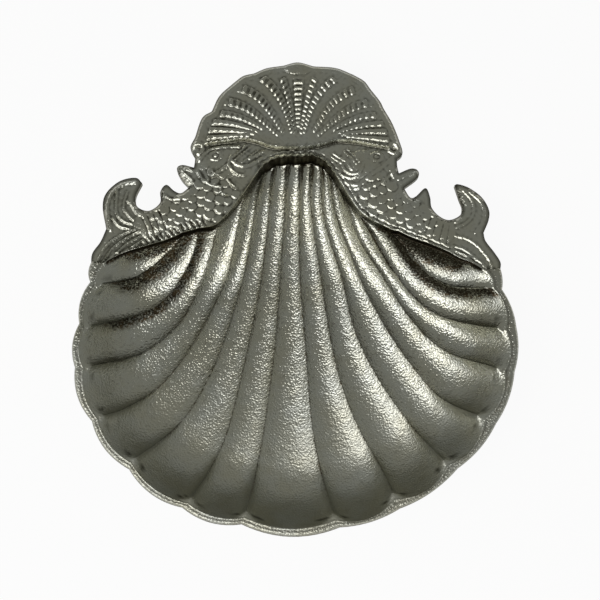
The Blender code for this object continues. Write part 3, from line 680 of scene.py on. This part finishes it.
def scale_level(p, axis):
    """Overlapping scales in staggered rows along a dolphin's body."""
    length = curve_length(axis)
    level = np.zeros(len(p))
    side = np.sign(axis[-1][0])
    chance = np.random.default_rng(7)
    for row, place in enumerate(SCALE_ROWS):
        for step in np.arange(2.2 + (row % 2) * SCALE_PITCH / 2, length - 2.0, SCALE_PITCH):
            here = curve(axis, [step / length, min(step / length + 0.02, 1.0)])
            ahead = (here[1] - here[0]) / np.hypot(*(here[1] - here[0]))
            across = np.array([ahead[1], -ahead[0]]) * side
            half = BODY_HALF[0] + (BODY_HALF[1] - BODY_HALF[0]) * step / length
            centre = here[0] + across * half * place + chance.uniform(-SCALE_SHIFT, SCALE_SHIFT, 2)
            radius = SCALE_RADIUS * chance.uniform(0.85, 1.15)
            turn = chance.uniform(-0.6, 0.6)
            d = p - centre
            near = np.hypot(*d.T) < radius
            gap = np.hypot(*d[near].T) / radius
            down = np.array([np.sin(turn), np.cos(turn)])
            lean = np.clip(0.55 - 0.45 * (d[near] @ down) / radius, 0.0, 1.0)
            rise = SCALE_RISE * chance.uniform(0.7, 1.1)
            level[near] = np.maximum(level[near], rise * smooth((1.0 - gap) / 0.35) * lean)
    return level


def dolphin_level(p, side):
    """Crowned head and scaled body of one dolphin, with its eye."""
    axis = BODY_LEFT if side == 0 else BODY_RIGHT
    gap, run = line_distance(p, curve(axis, np.linspace(0.0, 1.0, 20)))
    along = run / curve_length(axis)
    half = BODY_HALF[0] + (BODY_HALF[1] - BODY_HALF[0]) * along
    level = BODY_CROWN * np.clip(1.0 - (gap / half) ** 2, 0.0, 1.0) * (1.0 - 0.35 * along)
    head = (p - np.array(HEADS[side])) / np.array(HEAD_HALF)
    level += HEAD_CROWN * np.clip(1.0 - (head ** 2).sum(axis=1), 0.0, 1.0)
    scaled = smooth((1.75 * half - gap) / 0.8) * smooth((along - 0.08) / 0.1)
    level += (1.0 - RIGHT_WEAR * side) * scale_level(p, axis) * scaled
    eye = np.hypot(*((p - np.array(EYES[side])) / (1.15, 0.95)).T)
    level += 0.32 * smooth(1.0 - np.abs(eye - EYE_RADIUS) / 0.7) + 0.4 * smooth(1.0 - eye / 0.9)
    return level


def ornament_level(p, inside):
    """Top height of the ornament at plan points a given distance inside its outline."""
    level = fan_level(p, inside) + dolphin_level(p, 0) + dolphin_level(p, 1)
    boss = (p - np.array(BOSS)) / np.array(BOSS_HALF)
    level += BOSS_CROWN * np.clip(1.0 - (boss ** 2).sum(axis=1) ** 2, 0.0, 1.0)
    for centre in VOLUTES:
        ring = np.hypot(*(p - np.array(centre)).T)
        level += 0.4 * smooth(1.0 - np.abs(ring - 1.5) / 1.0)
    lines = np.zeros(len(p))
    for group in (HEAD_LINES, FIN_LINES, TAIL_LINES, TAIL_NOTCHES):
        lines = raise_lines(lines, p, group)
    level += lines * (1.0 - RIGHT_WEAR * smooth(p[:, 0] / 10.0))
    x, y = p.T
    wave = np.sin(2.1 * x + 1.7 * np.sin(1.3 * y)) * np.sin(1.9 * y + 1.5 * np.sin(1.1 * x))
    return level + CAST_WAVE * wave


def add_vertex(bm, spot):
    """A vertex at (x, y, z) that keeps its grain, tarnish, and grime with painted shade."""
    vertex = bm.verts.new(Vector(spot[:3]) * MM)
    for name, value in zip(SURFACE_LAYERS, spot[3:]):
        vertex[bm.verts.layers.float[name]] = min(max(value, 0.0), 1.0)
    return vertex


def add_quads(bm, rows):
    """Quads between neighbouring rows of equal length."""
    made = [[add_vertex(bm, spot) for spot in row] for row in rows]
    for low, high in zip(made, made[1:]):
        for i in range(len(low) - 1):
            bm.faces.new((low[i], low[i + 1], high[i + 1], high[i]))


def add_patch(bm, loop, inner):
    """Triangles over a closed loop and the points inside it, each with its own height."""
    points = np.vstack([loop, inner])
    flat = [Vector((x, y)) for x, y in points[:, :2]]
    found = delaunay_2d_cdt(flat, [], [list(range(len(loop)))], 1, 1e-7)
    made = [add_vertex(bm, points[source[0]]) for source in found[3]]
    for face in found[2]:
        bm.faces.new([made[i] for i in face])


def under_points(rim_breadth):
    """Underside of the bowl: shallow flutes below the top, flat where the dish rests."""
    points = []
    for column in bowl_columns(UNDER_FRACTIONS):
        _, f, length, _ = column
        floor_end = 1.0 - END_WALL / length
        wall = np.linspace(floor_end, 1.0, UNDER_ROWS[1])[1:]
        fractions = np.concatenate([np.linspace(UNDER_START, floor_end, UNDER_ROWS[0]), wall])
        line, breadth, inside = column_points(column, fractions)
        scoop = FLUTE_DEPTH * (1.0 - UNDER_FLUTE) + UNDER_FLUTE * flute_depth(breadth, f)
        level = np.maximum(bowl_level(line) - FLOOR_WALL - scoop, 0.0)
        skirt = RIM_LEVEL - RIM_DROP - WALL
        level = end_rise(skirt, level, inside + rim_breadth, END_WALL + rim_breadth)
        points.append(plain_spots(line, level))
    return np.vstack(points)


def plain_spots(xy, level, grain=0.4, tarnish=0.15, grime_and_shade=0.0):
    """Spots at plan points with the given height, grain, tarnish, and grime with painted shade."""
    rest = [np.broadcast_to(value, len(xy)) for value in (level, grain, tarnish, grime_and_shade)]
    return np.column_stack([xy] + rest)


def ornament_spots(lip, edge, loop):
    """Plan points inside the ornament, in close rows along its edge and its lip."""
    spots = hex_points(loop, RELIEF_STEP, 0.5 * RELIEF_STEP)
    inside, _ = line_distance(spots, edge)
    lip_gap, _ = line_distance(spots, lip)
    clear = 0.7 * RELIEF_STEP
    kept = (inside > EDGE_LOOPS[-1] + clear) & (lip_gap > LIP_LOOPS[-1] + clear)
    rings = [inset_points(edge, -1.0, reach, loop) for reach in EDGE_LOOPS]
    rings += [inset_points(lip, 1.0, reach, loop) for reach in LIP_LOOPS]
    return np.vstack([spots[kept]] + rings)


def lip_relief(x, lip_gap, lip_run):
    """Fine raised lines along the lip, and the teeth along the left dolphin's belly."""
    lined = np.maximum(smooth((x - 8.0) / 4.0), 0.8 * smooth((13.0 - np.abs(x)) / 3.0))
    wavy = lip_gap + 0.1 * np.sin(1.9 * lip_run) + 0.06 * np.sin(4.1 * lip_run)
    raised = np.zeros(len(x))
    for reach, rise in LIP_LINES:
        raised += lined * rise * smooth(1.0 - np.abs(wavy - reach) / 0.5)
    belly = smooth((-27.0 - x) / 2.0) * smooth((x + 48.5) / 2.0) * smooth((2.8 - lip_gap) / 0.6)
    teeth = smooth(0.5 + 0.65 * np.cos(2 * np.pi * (lip_run + 0.3 * lip_gap) / TEETH_PITCH)) - 0.5
    return raised + TEETH_RISE * belly * teeth


def ornament_top(lip, edge, loop):
    """Points of the ornament's top face with their heights, rounded off at its edge, where painted shade
    darkens it.
    """
    spots = ornament_spots(lip, edge, loop)
    inside, _ = line_distance(spots, edge)
    lip_gap, lip_run = line_distance(spots, lip)
    raised = ornament_level(spots, inside) * smooth(0.5 + lip_gap / 0.8)
    raised = raised + lip_relief(spots[:, 0], lip_gap, lip_run)
    round_off = 1.0 - (1.0 - np.clip(inside / EDGE_ROUND, 0.0, 1.0)) ** 2.4
    low = EDGE_LEVEL - EDGE_FALL
    level = low + (PLATE_LEVEL - low + raised) * round_off
    lip_blend = smooth(0.2 + lip_gap / 0.5)
    level = LIP_LEVEL * (1 - lip_blend) + level * lip_blend
    # Painted shade darkens the rounded outer edge of the ornament
    return plain_spots(spots, level, 0.42, 0.0, EDGE_SHADE * smooth(1.15 - inside / 1.1))


def under_belt(foot, border):
    """Two rows under the wall, where the underside steps up from the bowl to the plate."""
    step = PLATE_LEVEL - PLATE_THICKNESS
    low_level = np.minimum(np.maximum(foot[:, 2] - WALL, 0.0), step)
    belt = []
    for reach, level in ((LIP_RUN, low_level), (LIP_RUN + WALL, step)):
        belt.append(plain_spots(foot[:, :2] + outward(foot) * reach, level)[2:-2:2])
    belt = np.vstack(belt)
    gap, _ = line_distance(belt[:, :2], border[:, :2])
    return belt[inside_loop(belt[:, :2], border[:, :2]) & (gap > 1.0)]


def build_dish():
    """The whole dish as one closed mesh."""
    bm = bmesh.new()
    for name in SURFACE_LAYERS:
        bm.verts.layers.float.new(name)
    columns = bowl_columns(FLUTE_FRACTIONS)
    grid = bowl_grid(columns)
    add_quads(bm, grid)
    rim = rim_rows(columns, grid[-1])
    add_quads(bm, [grid[-1]] + rim)
    foot = np.vstack([grid[::-1, 0][:-1], grid[0], grid[1:, -1]])
    wall = wall_rows(foot)
    add_quads(bm, wall)
    lip = wall[-1]

    # The outline carries painted shade for its dark outer edge
    edge = plain_spots(ornament_outline(), EDGE_LEVEL, 0.3, 0.2, 0.9)
    edge[0] = rim[-1][-1]
    edge[-1] = rim[-1][0]
    right_end = np.array([grid[-1][-1]] + [row[-1] for row in rim[:-1]])
    left_end = np.array([row[0] for row in reversed(rim[:-1])] + [grid[-1][0]])
    loop = np.vstack([lip, right_end, edge, left_end])
    add_patch(bm, loop, ornament_top(lip[:, :2], edge[:, :2], loop[:, :2]))

    border = np.vstack([rim[-1], edge[1:-1]])
    under = border.copy()
    under[:, 2] -= WALL
    # Painted shade under the border
    under[:, 5] = EDGE_SHADE
    add_quads(bm, [np.vstack([border, border[:1]]), np.vstack([under, under[:1]])])
    rim_breadth = float(np.mean(np.hypot(*(rim[-1] - grid[-1])[:, :2].T)))
    plate_spots = hex_points(loop[:, :2], UNDER_STEP, 1.0)
    plate_gap, _ = line_distance(plate_spots, foot[:, :2])
    plate_spots = plate_spots[plate_gap > LIP_RUN + WALL + 1.0]
    plate = plain_spots(plate_spots, PLATE_LEVEL - PLATE_THICKNESS)
    add_patch(bm, under, np.vstack([under_points(rim_breadth), under_belt(foot, border), plate]))

    bmesh.ops.remove_doubles(bm, verts=bm.verts, dist=MERGE * MM)
    bmesh.ops.recalc_face_normals(bm, faces=bm.faces)
    mesh = bpy.data.meshes.new("dish")
    bm.to_mesh(mesh)
    bm.free()
    mesh.shade_smooth()
    mesh.set_sharp_from_angle(angle=CORNER_ANGLE)
    dish = bpy.data.objects.new("dish", mesh)
    bpy.context.scene.collection.objects.link(dish)
    return dish


def fit_to_box(dish, box):
    """Centres the dish on the CAD part's plan and keeps it inside the part's box."""
    co = np.zeros(len(dish.data.vertices) * 3)
    dish.data.vertices.foreach_get("co", co)
    co = co.reshape(-1, 3)
    low, high = co.min(axis=0), co.max(axis=0)
    box = np.array(box)
    scale = np.minimum((box[1] - box[0]) / (high - low), 1.0)
    co[:, :2] = (co[:, :2] - (low + high)[:2] / 2) * scale[:2] + box.mean(axis=0)[:2]
    co[:, 2] *= scale[2]
    dish.data.vertices.foreach_set("co", co.ravel())
    dish.data.update()


def grime_and_shade_hollows(mesh):
    """Adds grime and painted shade to the grooves of the ornament: where the surface lies below its
    surroundings.
    """
    count = len(mesh.vertices)
    co = np.zeros(count * 3)
    mesh.vertices.foreach_get("co", co)
    level = co.reshape(-1, 3)[:, 2] / MM
    pairs = np.zeros(len(mesh.edges) * 2, dtype=int)
    mesh.edges.foreach_get("vertices", pairs)
    a, b = pairs.reshape(-1, 2).T
    joined = np.bincount(a, minlength=count) + np.bincount(b, minlength=count)
    soft = level.copy()
    for _ in range(HOLLOW_STEPS):
        total = np.bincount(a, soft[b], count) + np.bincount(b, soft[a], count)
        soft = 0.4 * soft + 0.6 * total / joined
    grime_and_shade = np.zeros(count)
    layer = mesh.attributes["grime_and_shade"].data
    layer.foreach_get("value", grime_and_shade)
    on_top = level > PLATE_LEVEL - HOLLOW_REACH
    # Painted shade with grime where the surface lies below its smoothed surroundings
    hollow = np.clip((soft - level - 0.02) / HOLLOW_DEPTH, 0.0, 1.0) * on_top
    layer.foreach_set("value", np.maximum(grime_and_shade, HOLLOW_SHADE * hollow).astype(np.float32))


def silvered_metal():
    """Worn silvery plating: cast grain with painted shade in its pits, drifting patina, brown tarnish in
    the hollows, and dark grime with painted shade.
    """
    material = bpy.data.materials.new("silvered_metal")
    material.use_nodes = True
    nodes, links = material.node_tree.nodes, material.node_tree.links
    shader = nodes["Principled BSDF"]
    shader.inputs["Metallic"].default_value = 1.0
    shader.inputs["Specular Tint"].default_value = GRAZING_TINT
    place = nodes.new("ShaderNodeTexCoord").outputs["Object"]

    def attribute(name):
        node = nodes.new("ShaderNodeAttribute")
        node.attribute_name = name
        return node.outputs["Fac"]

    def noise(scale, detail, roughness):
        node = nodes.new("ShaderNodeTexNoise")
        node.inputs["Scale"].default_value = scale
        node.inputs["Detail"].default_value = detail
        node.inputs["Roughness"].default_value = roughness
        links.new(place, node.inputs["Vector"])
        return node.outputs["Fac"]

    def math(operation, a, b, clamp=False):
        node = nodes.new("ShaderNodeMath")
        node.operation = operation
        node.use_clamp = clamp
        for socket, value in zip(node.inputs, (a, b)):
            if isinstance(value, (int, float)):
                socket.default_value = value
            else:
                links.new(value, socket)
        return node.outputs[0]

    def spread(value, low, high, to_low, to_high):
        node = nodes.new("ShaderNodeMapRange")
        for name, number in (("From Min", low), ("From Max", high)):
            node.inputs[name].default_value = number
        for name, number in (("To Min", to_low), ("To Max", to_high)):
            node.inputs[name].default_value = number
        links.new(value, node.inputs["Value"])
        return node.outputs[0]

    def blend(share, a, b):
        node = nodes.new("ShaderNodeMix")
        node.data_type = "RGBA"
        links.new(share, node.inputs["Factor"])
        for socket, value in ((node.inputs[6], a), (node.inputs[7], b)):
            if isinstance(value, tuple):
                socket.default_value = value
            else:
                links.new(value, socket)
        return node.outputs[2]

    pebbles = nodes.new("ShaderNodeTexVoronoi")
    pebbles.feature = "SMOOTH_F1"
    pebbles.inputs["Scale"].default_value = PEBBLE_SCALE
    pebbles.inputs["Smoothness"].default_value = 0.6
    links.new(place, pebbles.inputs["Vector"])
    fine = noise(FINE_SCALE, 1.0, 0.5)
    lumps = noise(LUMP_SCALE, 2.0, 0.5)
    patches = noise(PATCH_SCALE, 4.0, 0.6)
    grain = attribute("grain")
    tarnish = attribute("tarnish")
    grime_and_shade = attribute("grime_and_shade")

    dips = math("MULTIPLY", pebbles.outputs["Distance"], 0.55)
    height = math("SUBTRACT", math("MULTIPLY", fine, 0.8), dips)
    height = math("ADD", height, math("MULTIPLY", lumps, 0.7))
    # Painted shade: the base colour darkens in the low pits of the cast grain
    pit_shade = math("MULTIPLY", spread(height, 0.1, 0.4, 1.0, 0.0), grain, True)
    patina = spread(patches, 0.35, 0.65, 0.0, 1.0)
    metal = blend(patina, *SILVER)
    metal = blend(math("MULTIPLY", pit_shade, 0.45), metal, PIT_SHADE_COLOUR)
    # Grime with painted shade darkens the metal: on the wall below the ornament, along its outer edge and
    # in its grooves
    metal = blend(grime_and_shade, metal, GRIME_AND_SHADE_COLOUR)
    speckle = spread(fine, 0.35, 0.65, -0.8, 0.8)
    uneven = spread(lumps, 0.35, 0.65, 0.65, 1.35)
    stained = math("MULTIPLY", tarnish, math("ADD", speckle, uneven), True)
    solid = math("MULTIPLY", tarnish, spread(grime_and_shade, 0.85, 1.0, 0.0, 1.0))
    stained = math("MAXIMUM", stained, solid)
    warm = math("SUBTRACT", spread(lumps, 0.4, 0.65, 0.0, 1.0), grime_and_shade, True)
    stain = blend(warm, *TARNISH_COLOURS)
    links.new(blend(stained, metal, stain), shader.inputs["Base Color"])
    split = nodes.new("ShaderNodeSeparateXYZ")
    links.new(place, split.inputs[0])
    rough = math("ADD", spread(patches, 0.3, 0.7, *ROUGHNESS), math("MULTIPLY", stained, 0.2))
    rough = math("ADD", rough, spread(split.outputs["Y"], *SATIN_SPAN, SATIN, 0.0))
    links.new(rough, shader.inputs["Roughness"])

    bump = nodes.new("ShaderNodeBump")
    bump.inputs["Distance"].default_value = BUMP_DEPTH
    links.new(height, bump.inputs["Height"])
    links.new(grain, bump.inputs["Strength"])
    links.new(bump.outputs["Normal"], shader.inputs["Normal"])
    return material


def area_light(name, place, size, power):
    """A soft light aimed at the origin."""
    light = bpy.data.lights.new(name, "AREA")
    light.shape = "RECTANGLE"
    light.size, light.size_y = size
    light.energy = power
    lamp = bpy.data.objects.new(name, light)
    lamp.location = place
    lamp.rotation_euler = (-Vector(place)).to_track_quat("-Z", "Y").to_euler()
    bpy.context.scene.collection.objects.link(lamp)


def set_camera():
    """The photograph's view: nearly from above, from the lobed side."""
    elevation, roll = np.radians(ELEVATION), np.radians(ROLL)
    back = np.array((0.0, -np.cos(elevation), np.sin(elevation)))
    right = np.array((1.0, 0.0, 0.0))
    up = np.array((0.0, np.sin(elevation), np.cos(elevation)))
    right, up = (right * np.cos(roll) + up * np.sin(roll),
                 up * np.cos(roll) - right * np.sin(roll))
    camera = bpy.data.objects.new("camera", bpy.data.cameras.new("camera"))
    camera.data.lens = LENS
    camera.data.sensor_width = 36.0
    camera.data.clip_start = 0.01
    place = np.array(TARGET) + back * DISTANCE
    turn = np.eye(4)
    turn[:3, 0], turn[:3, 1], turn[:3, 2], turn[:3, 3] = right, up, back, place
    camera.matrix_world = Matrix(turn.tolist())
    bpy.context.scene.collection.objects.link(camera)
    bpy.context.scene.camera = camera


def set_stage():
    """A plain pale floor that stays white to the camera and keeps a soft shadow."""
    bpy.ops.mesh.primitive_plane_add(size=6.0)
    floor = bpy.context.object
    floor.name = "floor"
    material = bpy.data.materials.new("floor")
    material.use_nodes = True
    nodes, links = material.node_tree.nodes, material.node_tree.links
    nodes.clear()
    output = nodes.new("ShaderNodeOutputMaterial")
    mix = nodes.new("ShaderNodeMixShader")
    matte = nodes.new("ShaderNodeBsdfDiffuse")
    matte.inputs["Color"].default_value = FLOOR_COLOUR
    glow = nodes.new("ShaderNodeEmission")
    glow.inputs["Strength"].default_value = 1.0
    path = nodes.new("ShaderNodeLightPath")
    share = path.outputs["Is Camera Ray"]
    for name in ("Is Glossy Ray", "Is Transmission Ray"):
        either = nodes.new("ShaderNodeMath")
        either.operation = "MAXIMUM"
        links.new(share, either.inputs[0])
        links.new(path.outputs[name], either.inputs[1])
        share = either.outputs[0]
    seen = nodes.new("ShaderNodeMath")
    seen.operation = "MULTIPLY"
    seen.inputs[1].default_value = FLOOR_GLOW
    links.new(share, seen.inputs[0])
    links.new(seen.outputs[0], mix.inputs["Fac"])
    links.new(matte.outputs[0], mix.inputs[1])
    links.new(glow.outputs[0], mix.inputs[2])
    links.new(mix.outputs[0], output.inputs["Surface"])
    floor.data.materials.append(material)

    world = bpy.data.worlds.new("studio")
    world.use_nodes = True
    bpy.context.scene.world = world
    world.node_tree.nodes["Background"].inputs["Color"].default_value = SKY_COLOUR
    for light in LIGHTS:
        area_light(*light)
    bpy.context.scene.view_settings.view_transform = "Standard"


dish = build_dish()
fit_to_box(dish, cad_box)
grime_and_shade_hollows(dish.data)
dish.data.materials.append(silvered_metal())
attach(dish, "root")
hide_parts("shell_dish")
set_stage()
set_camera()
